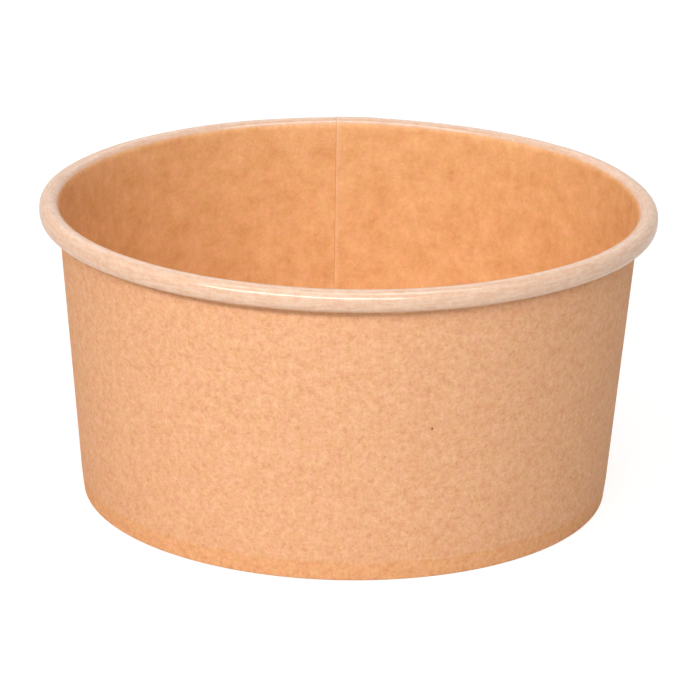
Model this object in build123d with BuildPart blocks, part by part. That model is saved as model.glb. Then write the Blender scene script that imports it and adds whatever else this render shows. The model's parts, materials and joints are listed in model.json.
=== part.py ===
from build123d import *
import os
from math import cos, degrees, radians, sin

# A kraft paper salad bowl, in millimetres, standing on the table at the origin with +Z up.
# One sheet makes the wall: it is bent round into a cone, lapped and glued along one side, rolled
# outwards at the rim and turned in and up at the foot as a hem. A paper disc makes the base: its
# edge is turned down as a skirt, which the hem clamps against the inside of the wall.

# Overall sizes
rim_diameter = 150.0  # across the outside of the rolled rim
bowl_height = 74.0  # from the table to the top of the rim
wall_lean = 4.6  # degrees from upright, so that bowls nest

# Paper
wall_paper = 0.45
base_paper = 0.45
glue_gap = 0.05  # coat between two plies that are glued together

# Rolled rim: a spiral of narrow bands with an upright band at its outermost side
roll_start = 2.36  # radius at mid-paper where the roll leaves the wall
roll_end = 1.85  # radius at mid-paper at the hidden cut edge
rim_upright = 0.8
outer_bands = 5  # from the wall over the top to the upright band
under_bands = 3  # from there round the underside to the cut edge

# Hem, turned in at the foot
hem_height = 5.0  # up to the crease where the wall begins
hem_lean = 7.0  # degrees from upright, a little more than the wall
hem_step = 0.3  # the turned-in leg stops this far below the crease
foot_bevel = 0.3  # pressed corner on each side of the ring that stands on the table

# Base disc
base_bevel = 0.6  # pressed corner between the disc and its skirt
skirt_gap = 0.3  # between the skirt's cut edge and the bottom of the fold

# Side seam, where the sheet's two ends overlap
seam_azimuth = 92.3  # degrees, where the inner ply's cut edge shows
lap_width = 9.0
lap_rise = 0.28  # how far the pressed lap stands proud of the single sheet
lap_under_bands = 2  # bands of the rim's underside that the inner ply follows
jog_width = 4.0  # along which the inner ply steps out into the round of the wall
groove_room = 1.0  # outside the wall, to clear the groove beside the outer ply's cut edge

# Sections are drawn with x as the distance from the axis and y as the height
wall_up = Vector(sin(radians(wall_lean)), cos(radians(wall_lean)))
wall_inward = Vector(-wall_up.Y, wall_up.X)
hem_up = Vector(sin(radians(hem_lean)), cos(radians(hem_lean)))
hem_inward = Vector(-hem_up.Y, hem_up.X)


def roll_points(start, bands, proud=0.0):
    """Corners of the roll from the top of the wall, a distance proud of mid-paper outside."""
    band_turn = (180 - wall_lean) / outer_bands
    shrink = (roll_start - roll_end) / (outer_bands + under_bands - 1)
    points = [start]
    for i in range(bands):
        if i == outer_bands:
            points.append(points[-1] - Vector(0, rim_upright))
        heading = radians(90 - wall_lean - (i + 0.5) * band_turn)
        length = 2 * (roll_start - i * shrink + proud) * sin(radians(band_turn / 2))
        points.append(points[-1] + Vector(cos(heading), sin(heading)) * length)
    return points


# The wall's top is as far below and inside the rim as the roll reaches up and out from it
roll_bands = outer_bands + under_bands
roll_reach = roll_points(Vector(0, 0), roll_bands)
wall_top = Vector(
    rim_diameter / 2 - wall_paper / 2 - max(point.X for point in roll_reach),
    bowl_height - wall_paper / 2 - max(point.Y for point in roll_reach),
)


def wall_point(height, inward=0.0):
    """Point at a height on the wall's mid-paper line, then moved inward."""
    return wall_top + wall_up * ((height - wall_top.Y) / wall_up.Y) + wall_inward * inward


def hem_point(height, inward=0.0):
    """Point at a height on a line inward from the hem's outer leg and parallel to it."""
    crease = wall_point(hem_height) + hem_inward * inward
    return crease + hem_up * ((height - crease.Y) / hem_up.Y)


# Mid-paper line of the sheet, from the turned-in leg's cut edge to the roll's
leg_spacing = wall_paper + base_paper + 2 * glue_gap
bevel_level = wall_paper / 2 + foot_bevel
with BuildLine() as sheet_line:
    leg_top = hem_point(hem_height - hem_step, leg_spacing)
    heel = hem_point(bevel_level, leg_spacing)
    toe = hem_point(bevel_level)
    foot = [heel + Vector(foot_bevel, -foot_bevel), toe - Vector(foot_bevel, foot_bevel)]
    Polyline(leg_top, heel, *foot, toe, hem_point(hem_height), *roll_points(wall_top, roll_bands))

# Mid-paper line of the base disc, from the skirt's cut edge to the axis
skirt_inset = wall_paper / 2 + glue_gap + base_paper / 2
with BuildLine() as base_line:
    skirt_top = hem_point(hem_height, skirt_inset)
    base_edge = skirt_top + Vector(-base_bevel, base_bevel)
    Polyline(hem_point(wall_paper + skirt_gap, skirt_inset), skirt_top, base_edge, (0, base_edge.Y))
base_top = base_edge.Y + base_paper / 2


def draw_lap(rise):
    """Band that the lap adds over the wall and rim, from mid-paper to a rise above the sheet."""
    depth = wall_paper / 2 + rise
    with BuildLine() as lap_line:
        lap_top = wall_top + wall_inward * (depth / 2)
        lap_foot = wall_point(base_top + glue_gap, depth / 2)
        Polyline(lap_foot, *roll_points(lap_top, outer_bands + lap_under_bands, depth / 2))
    trace(lap_line.line, depth)


def draw_groove(depth):
    """Band outside the wall, a depth into the sheet, from under the foot to under the rim."""
    outward = wall_paper / 2 - depth + (depth + groove_room) / 2
    groove_top = wall_top.Y - 2 * roll_start
    with BuildLine() as groove_line:
        Line(wall_point(-groove_room, -outward), wall_point(groove_top, -outward))
    trace(groove_line.line, depth + groove_room)


def turn_of(width):
    """Angle in degrees that a width takes up along the rim."""
    return degrees(width / (rim_diameter / 2))


def seam_plane(width):
    """Upright plane through the axis, a width clockwise along the rim from the lap's cut edge."""
    azimuth = radians(seam_azimuth - turn_of(width))
    outward = Vector(cos(azimuth), sin(azimuth))
    return Plane(origin=(0, 0, 0), x_dir=outward, z_dir=outward.cross(Vector(0, 0, 1)))


with BuildPart() as side_wall:
    # The single sheet, all the way round
    with BuildSketch(seam_plane(0)):
        trace(sheet_line.line, wall_paper)
    revolve(axis=Axis.Z)
    # The inner ply of the lap, and the jog that brings it back to the round
    with BuildSketch(seam_plane(0)):
        draw_lap(lap_rise)
    revolve(axis=Axis.Z, revolution_arc=-turn_of(lap_width))
    with BuildSketch(seam_plane(lap_width)):
        draw_lap(lap_rise)
    with BuildSketch(seam_plane(lap_width + jog_width)):
        draw_lap(-glue_gap)
    loft(ruled=True)
    # The groove that the jog leaves outside, beside the outer ply's cut edge
    with BuildSketch(seam_plane(lap_width)):
        draw_groove(lap_rise)
    with BuildSketch(seam_plane(lap_width + jog_width)):
        draw_groove(-glue_gap)
    loft(ruled=True, mode=Mode.SUBTRACT)

with BuildPart() as base_disc:
    with BuildSketch(seam_plane(0)):
        trace(base_line.line, base_paper)
    revolve(axis=Axis.Z)

side_wall.part.label = "side_wall"
base_disc.part.label = "base_disc"

os.makedirs("parts", exist_ok=True)
export_step(side_wall.part, "parts/side_wall.step")
export_step(base_disc.part, "parts/base_disc.step")
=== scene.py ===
import json

import bpy
import numpy as np
from mathutils import Matrix, Vector


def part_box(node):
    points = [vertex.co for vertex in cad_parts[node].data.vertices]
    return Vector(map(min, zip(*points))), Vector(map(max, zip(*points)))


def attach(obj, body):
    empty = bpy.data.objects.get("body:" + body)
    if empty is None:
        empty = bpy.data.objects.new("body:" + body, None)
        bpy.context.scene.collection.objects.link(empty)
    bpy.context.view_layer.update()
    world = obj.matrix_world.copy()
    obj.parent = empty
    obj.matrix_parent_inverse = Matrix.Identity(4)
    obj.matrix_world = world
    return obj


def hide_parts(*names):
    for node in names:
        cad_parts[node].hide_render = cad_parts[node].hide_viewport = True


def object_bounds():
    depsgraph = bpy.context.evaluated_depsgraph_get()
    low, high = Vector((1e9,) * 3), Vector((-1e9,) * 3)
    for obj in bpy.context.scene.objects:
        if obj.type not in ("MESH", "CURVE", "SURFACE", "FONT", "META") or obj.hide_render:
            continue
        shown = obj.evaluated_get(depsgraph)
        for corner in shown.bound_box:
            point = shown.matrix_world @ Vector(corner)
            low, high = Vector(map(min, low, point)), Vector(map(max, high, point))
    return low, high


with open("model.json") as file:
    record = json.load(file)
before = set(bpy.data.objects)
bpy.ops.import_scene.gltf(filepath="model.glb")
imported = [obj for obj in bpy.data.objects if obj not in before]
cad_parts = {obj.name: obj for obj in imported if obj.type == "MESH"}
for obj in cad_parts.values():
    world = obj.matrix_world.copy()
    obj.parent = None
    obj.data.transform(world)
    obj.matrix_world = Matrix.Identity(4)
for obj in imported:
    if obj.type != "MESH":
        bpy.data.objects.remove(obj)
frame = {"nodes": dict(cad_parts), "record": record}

# A kraft paper salad bowl. Lengths here are in millimetres and angles in degrees unless a note says
# otherwise, and each mesh is turned into metres as it is made.
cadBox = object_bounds()
mm = 0.001
mounts = {mount["name"]: mount for mount in frame["record"]["mounts"]}
print("frame loaded:", ", ".join(sorted(frame["nodes"])))


# Shared by both pieces

paper = {
    "thickness": 0.45,
    "glueGap": 0.05,  # coat between two plies
    "seamAzimuth": 92.3,  # where the inner ply's cut edge shows
    "lapWidth": 9.0,  # measured along the rim
    "lapRise": 0.28,  # how far the pressed lap stands proud
    "jogWidth": 4.0,  # along which the inner ply steps out to the round
    "edgeWidth": 0.10,  # of a cut edge as seen from its face
    "columns": {"lap": 14, "jog": 9, "rest": 356},
}


# t*t*(3 - 2*t) between two limits, 0 before the first and 1 after the second
def smoothStep(low, high, value):
    t = np.clip((value - low) / (high - low), 0.0, 1.0)
    return t * t * (3.0 - 2.0 * t)


# Steps of a straight run: equal lengths, all on one heading
def straightRun(length, heading, steps):
    return np.full(steps, length / steps), np.full(steps, float(heading))


# Steps of a bend: the heading swings evenly through the turn, and each step is its radius times its share
def bendRun(startRadius, endRadius, heading, turn, steps):
    share = (np.arange(steps) + 0.5) / steps
    radii = startRadius + (endRadius - startRadius) * share
    return np.abs(np.radians(turn)) / steps * radii, heading + turn * share


# Points of a section: the running sum of its steps, each a length along a heading
def walkRuns(runs):
    lengths = np.concatenate([run[0] for run in runs])
    headings = np.radians(np.concatenate([run[1] for run in runs]))
    steps = lengths[:, None] * np.stack([np.cos(headings), np.sin(headings)], axis=1)
    points = np.vstack([np.zeros(2), np.cumsum(steps, axis=0)])
    distance = np.concatenate([[0.0], np.cumsum(lengths)])
    return points, distance


# Unit vectors to the left of a line of points: its central differences turned by a quarter
def leftOf(points):
    along = np.gradient(points, axis=0)
    along /= np.linalg.norm(along, axis=1, keepdims=True)
    return np.stack([-along[:, 1], along[:, 0]], axis=1)


# Quads between neighbours on a grid that closes round both ways
def closedGrid(sections, columns):
    i, j = np.meshgrid(np.arange(sections), np.arange(columns), indexing="ij")
    iNext = (i + 1) % sections
    jNext = (j + 1) % columns
    corners = [i * columns + j, i * columns + jNext, iNext * columns + jNext, iNext * columns + j]
    return np.stack(corners, axis=-1).reshape(-1, 4)


# Points at (radius * cos(azimuth), radius * sin(azimuth), height)
def sweepRound(radius, height, azimuth):
    return np.stack([radius * np.cos(azimuth), radius * np.sin(azimuth), height], axis=-1).reshape(-1, 3)


# Puts a mesh into the scene, smooth but for the edges that are cut or folded sharply
def addPiece(name, vertices, faces, materials, faceMaterial, sharpAngle=40.0):
    mesh = bpy.data.meshes.new(name)
    mesh.from_pydata((vertices * mm).tolist(), [], faces)
    for material in materials:
        mesh.materials.append(material)
    mesh.polygons.foreach_set("material_index", np.asarray(faceMaterial, dtype=np.int32))
    mesh.shade_smooth()
    mesh.set_sharp_from_angle(angle=np.radians(sharpAngle))
    mesh.update()
    piece = bpy.data.objects.new(name, mesh)
    bpy.context.scene.collection.objects.link(piece)
    print(name, len(vertices), "vertices,", len(faces), "faces")
    return piece


# One number for each vertex, for a material to read
def addAttribute(piece, name, values):
    layer = piece.data.attributes.new(name, "FLOAT", "POINT")
    layer.data.foreach_set("value", np.asarray(values, dtype=np.float32).ravel())


# One place on the flat sheet for each corner of each face
def addUv(piece, name, places):
    layer = piece.data.uv_layers.new(name=name)
    layer.uv.foreach_set("vector", np.asarray(places, dtype=np.float32).ravel())


# Node helpers

# A node with its own settings
def newNode(tree, kind, **settings):
    node = tree.nodes.new(kind)
    for name, value in settings.items():
        setattr(node, name, value)
    return node


# Links a socket to another node's output, or sets it to a plain value
def feed(tree, socket, value):
    if isinstance(value, bpy.types.NodeSocket):
        tree.links.new(value, socket)
    else:
        socket.default_value = value


# Feeds inputs by name, with an underscore for each space
def setInputs(tree, node, **values):
    for name, value in values.items():
        feed(tree, node.inputs[name.replace("_", " ")], value)
    return node


# One sum, product or other operation on two values
def mathNode(tree, operation, first, second=0.0, clamp=False):
    node = newNode(tree, "ShaderNodeMath", operation=operation, use_clamp=clamp)
    feed(tree, node.inputs[0], first)
    feed(tree, node.inputs[1], second)
    return node.outputs[0]


# toLow up to the first limit and toHigh past the second, with a smooth step between them
def rangeNode(tree, value, low, high, toLow=0.0, toHigh=1.0):
    node = newNode(tree, "ShaderNodeMapRange", interpolation_type="SMOOTHSTEP")
    setInputs(tree, node, Value=value, From_Min=low, From_Max=high, To_Min=toLow, To_Max=toHigh)
    return node.outputs["Result"]


# first * (1 - factor) + second * factor, or another blend of the two colours
def mixColour(tree, factor, first, second, blend="MIX"):
    node = newNode(tree, "ShaderNodeMix", data_type="RGBA", blend_type=blend)
    for index, value in ((0, factor), (6, first), (7, second)):  # the node's sockets for colours
        feed(tree, node.inputs[index], value)
    return node.outputs[2]


# The first shader where the factor is 0 and the second where it is 1
def mixShader(tree, factor, first, second):
    node = newNode(tree, "ShaderNodeMixShader")
    for socket, value in zip(node.inputs, (factor, first, second)):
        tree.links.new(value, socket)
    return node.outputs[0]


# Noise about 0.5, with its scale per metre
def noiseNode(tree, vector, scale, detail=3.0, roughness=0.55, distortion=0.0):
    node = newNode(tree, "ShaderNodeTexNoise")
    setInputs(
        tree, node, Vector=vector, Scale=scale, Detail=detail, Roughness=roughness, Distortion=distortion
    )
    return node.outputs["Fac"]


# share * (value - 0.5), which makes noise swing about zero
def swingNode(tree, value, share):
    return mathNode(tree, "MULTIPLY", mathNode(tree, "SUBTRACT", value, 0.5), share)


# Coordinates turned about Z and stretched along each axis
def mapVector(tree, vector, turn=0.0, stretch=(1.0, 1.0, 1.0)):
    node = newNode(tree, "ShaderNodeMapping")
    setInputs(tree, node, Vector=vector, Rotation=(0.0, 0.0, np.radians(turn)), Scale=stretch)
    return node.outputs["Vector"]


# Kraft fibres, the same effect on every face of the paper

fibreLook = {  # scales are per metre, and limits are the noise between which an effect fades in
    "cloudScale": 125.0,
    "grainScale": 500.0,
    "tintScale": 330.0,
    "tintTurn": 33.0,
    "tintLimits": (0.35, 0.65),
    "dotScale": 1150.0,
    "dotTurn": -21.0,
    "dotLimits": (0.60, 0.70),
    "threadScale": 1700.0,
    "threadStretch": 0.16,
    "threadTurns": (12.0, -38.0, 71.0),
    "threadLimits": (0.60, 0.74),
    "threadBend": 0.6,
    "threadHeight": 0.5,  # beside the grain's own height
    "fleckScale": 105.0,
    "fleckSize": 0.045,  # share of a cell
    "fleckLimits": (0.80, 0.95),  # of a cell's own chance
    "fleckShare": 0.6,
    "heightLimits": (0.3, 0.9),  # from the lowest fibres to the highest
}


# tone = 0.5 + Grain*(grain - 0.5) + Cloud*(clouds - 0.5) goes from the dark pulp to the light, a slow drift
# from honey to rosy lies over it, dots are small and darker, threads are pale and flecks are rare
def makeFibreGroup():
    tree = bpy.data.node_groups.new("kraftFibres", "ShaderNodeTree")
    face = tree.interface
    face.new_socket("Vector", in_out="INPUT", socket_type="NodeSocketVector")
    for name in ("Dark", "Light", "Honey", "Rosy", "Fleck"):
        face.new_socket(name, in_out="INPUT", socket_type="NodeSocketColor")
    for name in ("Grain", "Cloud", "Dot", "Thread"):
        face.new_socket(name, in_out="INPUT", socket_type="NodeSocketFloat")
    face.new_socket("Color", in_out="OUTPUT", socket_type="NodeSocketColor")
    face.new_socket("Height", in_out="OUTPUT", socket_type="NodeSocketFloat")
    start = newNode(tree, "NodeGroupInput").outputs
    end = newNode(tree, "NodeGroupOutput").inputs
    vector = start["Vector"]

    grain = noiseNode(tree, vector, fibreLook["grainScale"], detail=2.0, roughness=1.0)
    clouds = noiseNode(tree, vector, fibreLook["cloudScale"], detail=1.0, roughness=1.0)
    grainTone = swingNode(tree, grain, start["Grain"])
    cloudTone = swingNode(tree, clouds, start["Cloud"])
    tone = mathNode(tree, "ADD", mathNode(tree, "ADD", grainTone, cloudTone), 0.5, clamp=True)
    colour = mixColour(tree, tone, start["Dark"], start["Light"])

    tintVector = mapVector(tree, vector, fibreLook["tintTurn"])
    shift = noiseNode(tree, tintVector, fibreLook["tintScale"], detail=2.0, roughness=0.7)
    rosy = rangeNode(tree, shift, *fibreLook["tintLimits"])
    drift = mixColour(tree, rosy, start["Honey"], start["Rosy"])
    colour = mixColour(tree, 1.0, colour, drift, "MULTIPLY")

    dotVector = mapVector(tree, vector, fibreLook["dotTurn"])
    fineDots = noiseNode(tree, dotVector, fibreLook["dotScale"], detail=1.0)
    dots = mathNode(tree, "MULTIPLY", rangeNode(tree, fineDots, *fibreLook["dotLimits"]), start["Dot"])
    colour = mixColour(tree, dots, colour, start["Fleck"])

    threads = None
    bend = fibreLook["threadBend"]
    for turn in fibreLook["threadTurns"]:
        lying = mapVector(tree, vector, turn, (fibreLook["threadStretch"], 1.0, 1.0))
        fine = noiseNode(tree, lying, fibreLook["threadScale"], detail=2.0, distortion=bend)
        thread = rangeNode(tree, fine, *fibreLook["threadLimits"])
        threads = thread if threads is None else mathNode(tree, "MAXIMUM", threads, thread)
    colour = mixColour(tree, mathNode(tree, "MULTIPLY", threads, start["Thread"]), colour, start["Light"])

    cells = newNode(tree, "ShaderNodeTexVoronoi", feature="F1")
    setInputs(tree, cells, Vector=vector, Scale=fibreLook["fleckScale"], Randomness=1.0)
    chance = newNode(tree, "ShaderNodeSeparateColor")
    tree.links.new(cells.outputs["Color"], chance.inputs["Color"])
    size = mathNode(tree, "MULTIPLY", chance.outputs["Red"], fibreLook["fleckSize"])
    dot = mathNode(tree, "LESS_THAN", cells.outputs["Distance"], size)
    rare = rangeNode(tree, chance.outputs["Green"], *fibreLook["fleckLimits"], 0.0, fibreLook["fleckShare"])
    colour = mixColour(tree, mathNode(tree, "MULTIPLY", dot, rare), colour, start["Fleck"])
    tree.links.new(colour, end["Color"])
    raised = mathNode(tree, "MULTIPLY", threads, fibreLook["threadHeight"])
    tree.links.new(mathNode(tree, "ADD", grain, raised), end["Height"])
    return tree


fibreGroup = makeFibreGroup()


# Starts a paper material and returns it with its tree, its shader, its coordinates and the fibres' outputs
def startPaper(name, colours, vectorFrom):
    material = bpy.data.materials.new(name)
    material.use_nodes = True
    tree = material.node_tree
    shader = tree.nodes["Principled BSDF"]
    if vectorFrom == "sheet":
        vector = newNode(tree, "ShaderNodeUVMap", uv_map="sheet").outputs["UV"]
    else:
        vector = newNode(tree, "ShaderNodeTexCoord").outputs["Object"]
    fibres = newNode(tree, "ShaderNodeGroup", node_tree=fibreGroup)
    setInputs(tree, fibres, Vector=vector, **colours)
    return material, tree, shader, vector, fibres.outputs


# Tilts the shader's normal by the slope of a height, whose full swing is a depth in millimetres
def addBump(tree, shader, height, depth):
    bump = newNode(tree, "ShaderNodeBump")
    setInputs(tree, bump, Height=height, Strength=1.0, Distance=depth * mm)
    tree.links.new(bump.outputs["Normal"], shader.inputs["Normal"])


# The mesh's own number at each point
def readAttribute(tree, name):
    return newNode(tree, "ShaderNodeAttribute", attribute_name=name).outputs["Fac"]


kraftMatt = {
    "colours": {
        "Dark": (0.672, 0.321, 0.158, 1.0),
        "Light": (0.855, 0.529, 0.322, 1.0),
        "Honey": (0.99, 1.0, 0.94, 1.0),
        "Rosy": (1.0, 0.945, 0.985, 1.0),
        "Fleck": (0.260, 0.110, 0.045, 1.0),
        "Grain": 1.8,
        "Cloud": 0.36,
        "Dot": 0.16,
        "Thread": 0.22,
    },
    "hemTint": (1.01, 0.945, 0.82, 1.0),
    "hemBlotches": 520.0,  # per metre, along the hem's edge
    "hemUneven": 1.2,
    "hemLimits": (0.45, 1.05),  # of the band with its blotches
    "speckAt": (19.3, -65.1, 38.2),  # a bark speck that shows at the front
    "speckSize": 0.26,
    "speckFade": 1.5,  # times its size
    "speckShare": 0.9,
    "roughness": (0.92, 0.74),  # of the lowest and the highest fibres
    "specular": 0.25,
    "bumpDepth": 0.035,
}


# Outside of the wall and underside of the base: uncoated and matt, and deeper where the hem was pressed
def makeKraftMatt(name):
    material, tree, shader, vector, fibres = startPaper(name, kraftMatt["colours"], "sheet")
    blotch = noiseNode(tree, vector, kraftMatt["hemBlotches"], detail=2.0, roughness=0.8)
    uneven = swingNode(tree, blotch, kraftMatt["hemUneven"])
    band = mathNode(tree, "ADD", readAttribute(tree, "hemBand"), uneven)
    pressed = rangeNode(tree, band, *kraftMatt["hemLimits"])
    colour = mixColour(tree, pressed, fibres["Color"], kraftMatt["hemTint"], "MULTIPLY")
    place = newNode(tree, "ShaderNodeTexCoord").outputs["Object"]
    apart = newNode(tree, "ShaderNodeVectorMath", operation="DISTANCE")
    tree.links.new(place, apart.inputs[0])
    apart.inputs[1].default_value = Vector(kraftMatt["speckAt"]) * mm
    size = kraftMatt["speckSize"] * mm
    fade = size * kraftMatt["speckFade"]
    speck = rangeNode(tree, apart.outputs["Value"], size, fade, kraftMatt["speckShare"], 0.0)
    colour = mixColour(tree, speck, colour, kraftMatt["colours"]["Fleck"])
    rough = rangeNode(tree, fibres["Height"], *fibreLook["heightLimits"], *kraftMatt["roughness"])
    setInputs(tree, shader, Base_Color=colour, Roughness=rough, Specular_IOR_Level=kraftMatt["specular"])
    addBump(tree, shader, fibres["Height"], kraftMatt["bumpDepth"])
    return material


kraftCoated = {
    "colours": {
        "Dark": (0.672, 0.330, 0.124, 1.0),
        "Light": (0.875, 0.521, 0.262, 1.0),
        "Honey": (0.99, 1.0, 0.93, 1.0),
        "Rosy": (1.0, 0.940, 0.980, 1.0),
        "Fleck": (0.260, 0.110, 0.045, 1.0),
        "Grain": 1.2,
        "Cloud": 1.1,
        "Dot": 0.04,
        "Thread": 0.10,
    },
    # The roll's paler colours: a painted sheen over the kraft
    "rimPale": (0.745, 0.542, 0.418, 1.0),
    "rimDeep": (0.665, 0.410, 0.278, 1.0),
    "lapPale": (0.930, 0.660, 0.450, 1.0),  # painted highlight along the inner ply's raised cut edge
    "lapShare": 0.26,
    "rimShare": 0.92,
    "streakScale": 1400.0,  # per metre
    "streakStretch": 0.14,
    "patchScale": 420.0,
    "wornLimits": (0.75, 1.25),  # of streaks and patches together
    "streakHeight": 0.7,
    "roughness": (0.64, 0.50),  # of the lowest and the highest fibres
    "specular": 0.30,
    "coatLimits": (0.05, 0.35),  # of the rim's band
    "coat": 0.45,
    "coatRoughness": 0.17,
    "coatIndex": 2.0,
    "bumpDepth": 0.020,
}


# Food side and rim: a thin clear coat over the kraft, glossier where it is rolled, where the colour is also
# painted paler as sheen, in streaks and patches
def makeKraftCoated(name):
    material, tree, shader, vector, fibres = startPaper(name, kraftCoated["colours"], "sheet")
    rim = readAttribute(tree, "rimBand")
    drawn = mapVector(tree, vector, 0.0, (kraftCoated["streakStretch"], 1.0, 1.0))
    streaks = noiseNode(tree, drawn, kraftCoated["streakScale"], detail=2.0, roughness=0.7)
    patches = noiseNode(tree, vector, kraftCoated["patchScale"], detail=3.0, roughness=0.9)
    worn = rangeNode(tree, mathNode(tree, "ADD", streaks, patches), *kraftCoated["wornLimits"])
    # The roll's paler colour, a painted sheen, in streaks and patches
    rolled = mixColour(tree, worn, kraftCoated["rimDeep"], kraftCoated["rimPale"])
    # A painted highlight: a paler strip along the inner ply's raised cut edge
    lap = mathNode(tree, "MULTIPLY", readAttribute(tree, "lapEdge"), kraftCoated["lapShare"])
    colour = mixColour(tree, lap, fibres["Color"], kraftCoated["lapPale"])
    colour = mixColour(tree, mathNode(tree, "MULTIPLY", rim, kraftCoated["rimShare"]), colour, rolled)
    rough = rangeNode(tree, fibres["Height"], *fibreLook["heightLimits"], *kraftCoated["roughness"])
    coat = rangeNode(tree, rim, *kraftCoated["coatLimits"], 0.0, kraftCoated["coat"])
    setInputs(
        tree,
        shader,
        Base_Color=colour,
        Roughness=rough,
        Specular_IOR_Level=kraftCoated["specular"],
        Coat_Weight=coat,
        Coat_Roughness=kraftCoated["coatRoughness"],
        Coat_IOR=kraftCoated["coatIndex"],
    )
    streakUp = mathNode(tree, "MULTIPLY", streaks, kraftCoated["streakHeight"])
    drawnUp = mathNode(tree, "MULTIPLY", streakUp, rim)
    height = mathNode(tree, "ADD", fibres["Height"], drawnUp)
    addBump(tree, shader, height, kraftCoated["bumpDepth"])
    return material


cutEdge = {
    # Darker than the wall: partly the glue-soaked raw edge, partly painted shade in the seam's step
    "colours": {
        "Dark": (0.460, 0.215, 0.090, 1.0),
        "Light": (0.750, 0.420, 0.215, 1.0),
        "Honey": (1.0, 1.0, 1.0, 1.0),
        "Rosy": (1.0, 0.95, 0.92, 1.0),
        "Fleck": (0.250, 0.100, 0.040, 1.0),
        "Grain": 1.6,
        "Cloud": 0.4,
        "Dot": 0.1,
        "Thread": 0.2,
    },
    "roughness": 0.9,
    "specular": 0.2,
    "bumpDepth": 0.05,
}


# Cut edge of a sheet: raw fibres soaked a little by the glue, darker than the wall; along the seam this dark
# edge is also painted shade at the foot of the inner ply's step
def makeCutEdge(name):
    material, tree, shader, _, fibres = startPaper(name, cutEdge["colours"], "object")
    setInputs(
        tree,
        shader,
        Base_Color=fibres["Color"],
        Roughness=cutEdge["roughness"],
        Specular_IOR_Level=cutEdge["specular"],
    )
    addBump(tree, shader, fibres["Height"], cutEdge["bumpDepth"])
    return material


papers = {
    "wall": [makeKraftCoated("wallCoated"), makeKraftMatt("wallMatt"), makeCutEdge("wallEdge")],
    "base": [makeKraftCoated("baseCoated"), makeKraftMatt("baseMatt"), makeCutEdge("baseEdge")],
}
coated, matt, cut = range(3)  # places in each of these lists
print("papers made:", ", ".join(material.name for group in papers.values() for material in group))


# Side wall: one sheet with its hem, wall and rolled rim

sheet = {
    "rimRadius": mounts["rim_lid_seat"]["dims"]["r_mm"],
    "height": cadBox[1].z / mm - paper["lapRise"],  # of the roll, beside the lap
    "hemLean": 7.0,  # of the hem's two legs, from upright
    "hemHeight": 5.0,  # up to the crease where the wall begins
    "legCut": 0.3,  # the turned-in leg stops this far below the crease
    "legSpacing": 2 * (paper["thickness"] + paper["glueGap"]),  # between the mid-lines of the hem's legs
    "foldRadius": 0.3,
    "creaseRadius": 1.0,
    "wallLean": 4.6,
    "rollStart": 2.40,
    "rollEnd": 1.75,
    "rollTurn": 312.0,
    "rimUpright": 0.75,
    "lapFoot": 5.95,  # height where the lap begins, just above the base
    "lapFade": 0.3,  # height in which it comes to its rise
    "lapPressed": 0.6,  # share of its rise that it loses on top of the roll
    "lapPressRun": (1.0, 4.0),  # from the start of the roll
    "lapEdgeRun": (1.4, 0.2),  # from the inner ply's cut edge, the run over which its painted highlight fades
    "grooveFoot": 0.5,  # height where the outside groove begins
    "hemSoft": 0.7,  # either side of the hem's top
    "rimRun": (0.9, 1.6),  # from the start of the roll, where the rim's coat and its painted sheen come in
    "lapShown": 0.2,  # share of the lap, and of the groove, past which a cut edge shows
    "grooveShown": 0.5,
    "steps": {  # points along each stretch of the section
        "innerLeg": 8,
        "fold": 7,
        "foot": 2,
        "outerLeg": 10,
        "crease": 1,
        "wall": 44,
        "over": 26,
        "upright": 3,
        "under": 16,
    },
}


# Mid-paper line of the sheet from the turned-in leg's cut edge to the roll's: its points and distances,
# and where on it the crease and the roll's start lie
def sheetLine():
    steps = sheet["steps"]
    half = paper["thickness"] / 2
    hemHeading = 90.0 - sheet["hemLean"]
    wallHeading = 90.0 - sheet["wallLean"]
    legRise = sheet["hemHeight"] - half - sheet["foldRadius"]
    legLength = legRise / np.cos(np.radians(sheet["hemLean"]))
    flat = sheet["legSpacing"] - 2 * sheet["foldRadius"]
    radius = sheet["foldRadius"]
    lower = [
        straightRun(legLength - sheet["legCut"], hemHeading - 180.0, steps["innerLeg"]),
        bendRun(radius, radius, hemHeading - 180.0, 180.0 - hemHeading, steps["fold"]),
        straightRun(flat, 0.0, steps["foot"]),
        bendRun(radius, radius, 0.0, hemHeading, steps["fold"]),
        straightRun(legLength, hemHeading, steps["outerLeg"]),
        bendRun(
            sheet["creaseRadius"],
            sheet["creaseRadius"],
            hemHeading,
            wallHeading - hemHeading,
            steps["crease"],
        ),
    ]
    over = wallHeading + 90.0
    under = sheet["rollTurn"] - over
    middle = sheet["rollStart"] + (sheet["rollEnd"] - sheet["rollStart"]) * over / sheet["rollTurn"]
    roll = [
        bendRun(sheet["rollStart"], middle, wallHeading, -over, steps["over"]),
        straightRun(sheet["rimUpright"], -90.0, steps["upright"]),
        bendRun(middle, sheet["rollEnd"], -90.0, -under, steps["under"]),
    ]
    lowerPoints, _ = walkRuns(lower)
    rollPoints, _ = walkRuns(roll)
    crease = lowerPoints[-1, 1] - lowerPoints[:, 1].min() + half
    wallRise = sheet["height"] - half - rollPoints[:, 1].max() - crease
    wall = straightRun(wallRise / np.sin(np.radians(wallHeading)), wallHeading, steps["wall"])
    points, distance = walkRuns([*lower, wall, *roll])
    points[:, 0] += sheet["rimRadius"] - half - points[:, 0].max()
    points[:, 1] += half - points[:, 1].min()
    creaseAt = len(lowerPoints) - 1
    return points, distance, creaseAt, creaseAt + steps["wall"]


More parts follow.
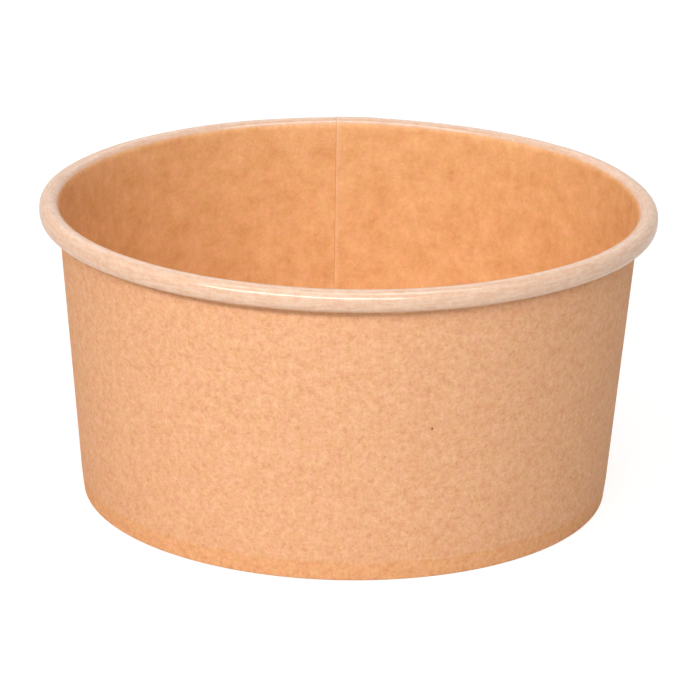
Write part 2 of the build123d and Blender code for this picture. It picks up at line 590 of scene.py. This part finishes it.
# Angles round the bowl, clockwise from the inner ply's cut edge, close together at the seam
def seamColumns():
    rim = sheet["rimRadius"]
    lapTurn = paper["lapWidth"] / rim
    jogTurn = paper["jogWidth"] / rim
    edgeTurn = paper["edgeWidth"] / rim
    count = paper["columns"]
    lap = np.linspace(0.0, lapTurn - edgeTurn, count["lap"])
    jog = np.linspace(lapTurn, lapTurn + jogTurn, count["jog"])
    rest = np.linspace(lapTurn + jogTurn, 2 * np.pi - edgeTurn, count["rest"] + 1)[1:]
    turned = np.concatenate([lap, jog, rest])
    stepBack = 1.0 - smoothStep(lapTurn, lapTurn + jogTurn, turned)
    inLap = np.where(turned < lapTurn, 1.0, stepBack)  # proud on the food side
    inGroove = np.where(turned < lapTurn, 0.0, stepBack)  # sunk on the outside
    return turned, inLap, inGroove


ripples = {  # slow waves that bending and rolling leave in the sheet
    "lobes": np.array([2, 3, 5, 8, 13]),
    "outward": np.array([0.10, 0.06, 0.05, 0.03, 0.02]),
    "upward": np.array([0.07, 0.05, 0.04, 0.03, 0.02]),
    "phase": np.array([0.4, 2.1, 4.0, 1.2, 5.3]),
}


# Sum of cosines round the bowl, one for each count of lobes
def rippleRound(azimuth, sizes):
    waves = np.cos(np.outer(azimuth, ripples["lobes"]) + ripples["phase"])
    return waves @ sizes


# The sheet laid flat: the distance round the rim and along the section, in metres for its fibres and as
# shares of the whole for a bake
def addSheetUv(piece, turned, along, perimeter):
    i, j = np.meshgrid(np.arange(len(along)), np.arange(len(turned)), indexing="ij")
    roundAt = np.append(turned, 2 * np.pi)
    alongAt = np.append(along, perimeter)
    corners = [(i, j), (i, j + 1), (i + 1, j + 1), (i + 1, j)]
    uv = np.stack([np.stack([roundAt[b], alongAt[a]], axis=-1) for a, b in corners], axis=2).reshape(-1, 2)
    addUv(piece, "sheet", uv * np.array([sheet["rimRadius"], 1.0]) * mm)
    addUv(piece, "OFBake", uv / np.array([2 * np.pi, perimeter]))


# Surface: the section's two faces, half the paper either side of its mid-line, swept round the axis.
# radius = x + normal.x * offset and height = z + normal.z * offset, where the offset grows at the lap.
def makeSideWall():
    line, distance, creaseAt, rollAt = sheetLine()
    left = leftOf(line)
    turned, inLap, inGroove = seamColumns()
    half = paper["thickness"] / 2
    count = len(line)

    mid = np.vstack([line, line[::-1]])
    normal = np.vstack([left, left[::-1]])
    side = np.concatenate([np.ones(count), -np.ones(count)])  # food side first, then the outside
    along = np.concatenate([distance, 2 * distance[-1] + paper["thickness"] - distance[::-1]])
    perimeter = along[-1] + paper["thickness"]

    wallStart = distance[creaseAt]
    fromStart = np.concatenate([distance, distance[::-1]])
    fromRoll = fromStart - distance[rollAt]
    onFood = side > 0
    lapRun = onFood * (fromStart > wallStart)
    lapRun = lapRun * smoothStep(0.0, sheet["lapFade"], mid[:, 1] - sheet["lapFoot"])
    lapAlong = lapRun * (1.0 - sheet["lapPressed"] * smoothStep(*sheet["lapPressRun"], fromRoll))
    foot = smoothStep(sheet["grooveFoot"], sheet["hemHeight"], mid[:, 1])
    outerLeg = wallStart - sheet["hemHeight"]
    grooveAlong = ~onFood * foot * (fromStart > outerLeg) * (fromRoll < 0)
    rise = paper["lapRise"] * (np.outer(lapAlong, inLap) + np.outer(grooveAlong, inGroove))
    offset = half * side[:, None] + rise

    azimuth = np.radians(paper["seamAzimuth"]) - turned
    share = smoothStep(sheet["hemHeight"], sheet["height"], mid[:, 1])[:, None]
    radius = mid[:, :1] + normal[:, :1] * offset + share * rippleRound(azimuth, ripples["outward"])
    height = mid[:, 1:] + normal[:, 1:] * offset + share**3 * rippleRound(azimuth, ripples["upward"])
    vertices = sweepRound(radius, height, azimuth)

    sections, columns = radius.shape
    faces = closedGrid(sections, columns)
    papersOf = np.array([coated] * (count - 1) + [cut] + [matt] * (count - 1) + [cut])
    papersOf = np.repeat(papersOf[:, None], columns, axis=1)
    papersOf[lapAlong > sheet["lapShown"], -1] = cut  # the inner ply's cut edge
    papersOf[grooveAlong > sheet["grooveShown"], paper["columns"]["lap"] - 1] = cut  # the outer ply's
    piece = addPiece("side_wall_sheet", vertices, faces.tolist(), papers["wall"], papersOf.ravel())
    addSheetUv(piece, turned, along, perimeter)

    hemTop, hemSoft = sheet["hemHeight"], sheet["hemSoft"]
    hem = ~onFood * smoothStep(hemTop + hemSoft, hemTop - hemSoft, mid[:, 1])
    # The roll's band, where its coat and its painted sheen come in
    rim = onFood * smoothStep(*sheet["rimRun"], fromRoll)
    # A painted highlight along the inner ply's raised cut edge, fading away from it
    edge = np.outer(lapAlong, smoothStep(*sheet["lapEdgeRun"], turned * sheet["rimRadius"]))
    addAttribute(piece, "hemBand", np.repeat(hem, columns))
    addAttribute(piece, "rimBand", np.repeat(rim, columns))
    addAttribute(piece, "lapEdge", edge)
    return piece


sideWall = makeSideWall()
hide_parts("side_wall")
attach(sideWall, "root")


# Base disc: its edge turned down as a skirt inside the hem

base = {
    "skirtGap": 0.3,  # between the skirt's cut edge and the bottom of the fold
    "cornerRadius": 0.9,
    "sag": 0.25,  # of the middle below the edge
    "poleRadius": 0.5,  # of the innermost ring, which a fan of faces closes
    "columns": 240,
    "steps": {"skirt": 8, "corner": 8, "across": 30},
}


# Mid-paper line of the base: up the skirt from its cut edge, round the corner and in to the innermost ring.
# The disc sinks by sag * (1 - (radius / edge radius)**2).
def baseLine():
    half = paper["thickness"] / 2
    steps = base["steps"]
    line, _, creaseAt, _ = sheetLine()
    lean = np.radians(sheet["hemLean"])
    hemUp = np.array([np.sin(lean), np.cos(lean)])
    hemIn = np.array([-hemUp[1], hemUp[0]])
    skirtTop = line[creaseAt] + hemIn * (paper["thickness"] + paper["glueGap"])
    skirtFoot = paper["thickness"] + base["skirtGap"]
    skirtLength = (skirtTop[1] - skirtFoot) / hemUp[1]
    hemHeading = 90.0 - sheet["hemLean"]
    bend = base["cornerRadius"]
    corner = bendRun(bend, bend, hemHeading, 180.0 - hemHeading, steps["corner"])
    cornerPoints, _ = walkRuns([corner])
    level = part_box("base_disc")[1].z / mm - half
    start = skirtTop - hemUp * skirtLength
    bendAt = level - cornerPoints[-1, 1] - start[1]  # height of the bend above the skirt's foot
    upright = straightRun(bendAt / hemUp[1], hemHeading, steps["skirt"])
    edgeRadius = start[0] + hemUp[0] / hemUp[1] * bendAt + cornerPoints[-1, 0]
    across = straightRun(edgeRadius - base["poleRadius"], 180.0, steps["across"])
    points, _ = walkRuns([upright, corner, across])
    points += start
    disc = points[-steps["across"]:]
    disc[:, 1] -= base["sag"] * (1.0 - (disc[:, 0] / edgeRadius) ** 2)
    return points


# Surface of revolution of the line's two faces, half the paper either side of it, from the middle of the top
# over the corner and down the skirt to the middle of the underside, with a fan of faces to close each middle
def makeBaseDisc():
    points = baseLine()
    left = leftOf(points)
    half = paper["thickness"] / 2
    top = (points - left * half)[::-1]
    below = points + left * half
    section = np.vstack([top, below])
    columns = base["columns"]
    azimuth = np.linspace(0.0, 2 * np.pi, columns, endpoint=False)
    radius = section[:, :1] * np.ones(columns)
    height = section[:, 1:] * np.ones(columns)
    rings = sweepRound(radius, height, azimuth)
    quads = closedGrid(len(section), columns)[:-columns]
    j = np.arange(columns)
    last = (len(section) - 1) * columns
    poles = np.array([[0.0, 0.0, section[0, 1]], [0.0, 0.0, section[-1, 1]]])
    vertices = np.vstack([rings, poles])
    topPole, lowPole = len(rings), len(rings) + 1
    topFan = np.stack([np.full(columns, topPole), (j + 1) % columns, j], axis=1)
    lowFan = np.stack([np.full(columns, lowPole), last + j, last + (j + 1) % columns], axis=1)
    faces = quads.tolist() + topFan.tolist() + lowFan.tolist()
    bands = len(points) - 1
    papersOf = np.repeat([coated] * bands + [cut] + [matt] * bands + [coated, matt], columns)
    piece = addPiece("base_disc_sheet", vertices, faces, papers["base"], papersOf)
    addUv(piece, "sheet", vertices[np.concatenate(faces), :2] * mm)
    return piece


baseDisc = makeBaseDisc()
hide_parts("base_disc")
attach(baseDisc, "root")


# Floor, light and camera

studio = {
    "floorRadius": 2.0,  # metres
    "floorHole": 0.0641,  # an opening under the foot, which lets light reach the underside
    "floorColumns": 96,
    "floorColour": (0.68, 0.68, 0.665, 1.0),
    "floorShown": 0.42,  # share of the floor's colour that takes light and shadow where it shows
    "floorWhite": 0.82,  # and the white that is added to it
    "worldBelow": 0.90,  # under the floor
    "worldLight": 0.47,  # round the horizon
    "worldAbove": 0.17,  # overhead
    "worldRise": (0.1, 0.9),  # sine of the heights between which the horizon's level turns to the overhead's
    "worldSink": (-0.3, 0.0),  # and the level from below to none
    "worldLeft": (1.18, 0.88, 0.63, 1.0),
    "worldRight": (0.96, 0.98, 1.0, 1.0),
    "worldShown": (1.0, 1.0, 1.0, 1.0),
    "key": {  # turned from the camera's side, to the left
        "turn": 17.0,
        "up": 33.0,
        "away": 1.6,  # metres
        "wide": 2.1,
        "tall": 0.26,
        "power": 23.3,
        "colour": (1.0, 0.985, 0.96),
    },
    "top": {  # almost overhead, for a second line of shine on the rim
        "turn": 0.0,
        "up": 84.0,
        "away": 1.6,
        "wide": 1.8,
        "tall": 0.30,
        "power": 8.5,
        "colour": (1.0, 0.99, 0.97),
    },
    "back": {  # large and weak, behind
        "turn": 172.0,
        "up": 38.0,
        "away": 1.6,
        "wide": 2.0,
        "tall": 0.6,
        "power": 4.0,
        "colour": (1.0, 1.0, 1.0),
    },
}


# 1 for the rays that show a background: camera, glossy and transmission rays
def shownRays(tree):
    rays = newNode(tree, "ShaderNodeLightPath").outputs
    seen = mathNode(tree, "MAXIMUM", rays["Is Camera Ray"], rays["Is Glossy Ray"])
    return mathNode(tree, "MAXIMUM", seen, rays["Is Transmission Ray"])


# Pale and matt, but white to the rays that show it save for the bowl's shadow, and clear from below
def makePaleFloor(name):
    material = bpy.data.materials.new(name)
    material.use_nodes = True
    tree = material.node_tree
    tree.nodes.clear()
    plain = setInputs(tree, newNode(tree, "ShaderNodeBsdfDiffuse"), Color=studio["floorColour"])
    faint = tuple(studio["floorShown"] * value for value in studio["floorColour"][:3]) + (1.0,)
    shaded = setInputs(tree, newNode(tree, "ShaderNodeBsdfDiffuse"), Color=faint)
    glow = setInputs(tree, newNode(tree, "ShaderNodeEmission"), Strength=studio["floorWhite"])
    white = newNode(tree, "ShaderNodeAddShader")
    tree.links.new(shaded.outputs[0], white.inputs[0])
    tree.links.new(glow.outputs[0], white.inputs[1])
    seen = mixShader(tree, shownRays(tree), plain.outputs[0], white.outputs[0])
    clear = newNode(tree, "ShaderNodeBsdfTransparent").outputs[0]
    fromBelow = newNode(tree, "ShaderNodeNewGeometry").outputs["Backfacing"]
    output = newNode(tree, "ShaderNodeOutputMaterial")
    tree.links.new(mixShader(tree, fromBelow, seen, clear), output.inputs["Surface"])
    return material


# A flat ring between two circles
def makeFloor():
    columns = studio["floorColumns"]
    azimuth = np.linspace(0.0, 2 * np.pi, columns, endpoint=False)
    radius = np.outer([studio["floorRadius"], studio["floorHole"]], np.ones(columns))
    rings = sweepRound(radius, np.zeros_like(radius), azimuth)
    mesh = bpy.data.meshes.new("floor")
    mesh.from_pydata(rings.tolist(), [], closedGrid(2, columns)[:columns].tolist())
    mesh.materials.append(makePaleFloor("paleFloor"))
    floor = bpy.data.objects.new("floor", mesh)
    bpy.context.scene.collection.objects.link(floor)


# A soft world, a little warmer on the left, darker overhead and lit from below, and white where it shows
def makeWorld():
    world = bpy.data.worlds.new("studio")
    bpy.context.scene.world = world
    world.use_nodes = True
    tree = world.node_tree
    seen = shownRays(tree)
    side = newNode(tree, "ShaderNodeSeparateXYZ")
    tree.links.new(newNode(tree, "ShaderNodeTexCoord").outputs["Generated"], side.inputs[0])
    across = rangeNode(tree, side.outputs["X"], -1.0, 1.0)
    light = mixColour(tree, across, studio["worldLeft"], studio["worldRight"])
    colour = mixColour(tree, seen, light, studio["worldShown"])
    rise = side.outputs["Z"]
    level = rangeNode(tree, rise, *studio["worldRise"], studio["worldLight"], studio["worldAbove"])
    below = rangeNode(tree, rise, *studio["worldSink"], studio["worldBelow"], 0.0)
    strength = mathNode(tree, "MAXIMUM", mathNode(tree, "MAXIMUM", level, below), seen)
    setInputs(tree, tree.nodes["Background"], Color=colour, Strength=strength)


# A soft light at away * (-sin(turn) cos(up), -cos(turn) cos(up), sin(up)), aimed at the bowl's middle
def makeLight(name):
    look = studio[name]
    light = bpy.data.lights.new(name, "AREA")
    light.shape = "RECTANGLE"
    light.size = look["wide"]
    light.size_y = look["tall"]
    light.energy = look["power"]
    light.color = look["colour"]
    lamp = bpy.data.objects.new(name, light)
    turn, up = np.radians([look["turn"], look["up"]])
    toward = Vector((-np.sin(turn) * np.cos(up), -np.cos(turn) * np.cos(up), np.sin(up)))
    lamp.location = look["away"] * toward
    aim = Vector((0.0, 0.0, sheet["height"] * mm / 2)) - lamp.location
    lamp.rotation_euler = aim.to_track_quat("-Z", "Y").to_euler()
    bpy.context.scene.collection.objects.link(lamp)


viewpoint = {  # read from the photograph's perspective
    "place": (-10.4, -852.8, 328.0),
    "down": 18.98,
    "aside": 0.76,
    "roll": 1.094,
    "lens": 188.1,
    "sensor": 36.0,
}


# The camera's axes: forward from its two angles, then right and up turned by its roll
def makeCamera():
    down, aside, roll = np.radians([viewpoint["down"], viewpoint["aside"], viewpoint["roll"]])
    forward = np.array([np.sin(aside) * np.cos(down), np.cos(aside) * np.cos(down), -np.sin(down)])
    right = np.cross(forward, [0.0, 0.0, 1.0])
    right /= np.linalg.norm(right)
    up = np.cross(right, forward)
    rightRolled = np.cos(roll) * right + np.sin(roll) * up
    upRolled = np.cos(roll) * up - np.sin(roll) * right
    lens = bpy.data.cameras.new("camera")
    lens.lens = viewpoint["lens"]
    lens.sensor_width = viewpoint["sensor"]
    camera = bpy.data.objects.new("camera", lens)
    axes = Matrix([rightRolled, upRolled, -forward]).transposed().to_4x4()
    camera.matrix_world = Matrix.Translation(Vector(viewpoint["place"]) * mm) @ axes
    bpy.context.scene.collection.objects.link(camera)
    bpy.context.scene.camera = camera


makeFloor()
makeWorld()
for lampName in ("key", "top", "back"):
    makeLight(lampName)
makeCamera()
bpy.context.scene.view_settings.view_transform = "Standard"
print("floor, light and camera set")
